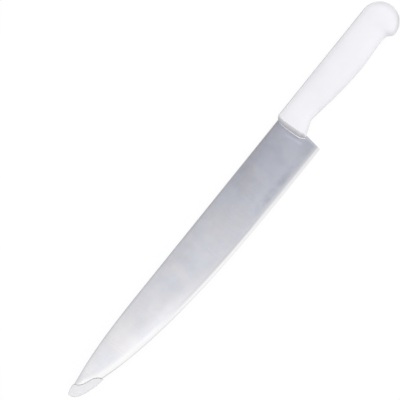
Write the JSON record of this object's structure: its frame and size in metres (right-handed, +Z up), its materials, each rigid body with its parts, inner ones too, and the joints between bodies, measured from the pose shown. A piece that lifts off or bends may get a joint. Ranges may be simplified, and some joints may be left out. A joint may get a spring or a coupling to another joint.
{
  "type": "kitchen knife",
  "caption": "Long kitchen knife for meat with a ground steel blade, a white moulded handle with a butt hook, and a clear slip-on tip guard.",
  "frame": {"origin": "middle of the knife's footprint, at the height of the lowest point of the handle's side", "axes": "the knife lies on its side: +X to the butt, -X to the tip, +Y to the spine, -Y to the cutting edge, +Z up through the blade's flat side"},
  "size_m": [0.3728, 0.0396, 0.0185],
  "materials": {
    "steel": "fine satin grind that blends softly into a polished edge bevel, and a thin honed edge",
    "white_plastic": "smooth moulded polypropylene with a soft sheen",
    "clear_plastic": "clear soft plastic, slightly cloudy"
  },
  "bodies": {
    "knife": {"blade": "steel", "handle": "white_plastic"},
    "tip_guard": {"tip_guard": "clear_plastic"}
  },
  "joints": [
    {"name": "tip_guard_slide", "type": "slide", "parent": "knife", "child": "tip_guard", "axis": [-1, 0, 0], "range_m": [0, 0.03]}
  ]
}
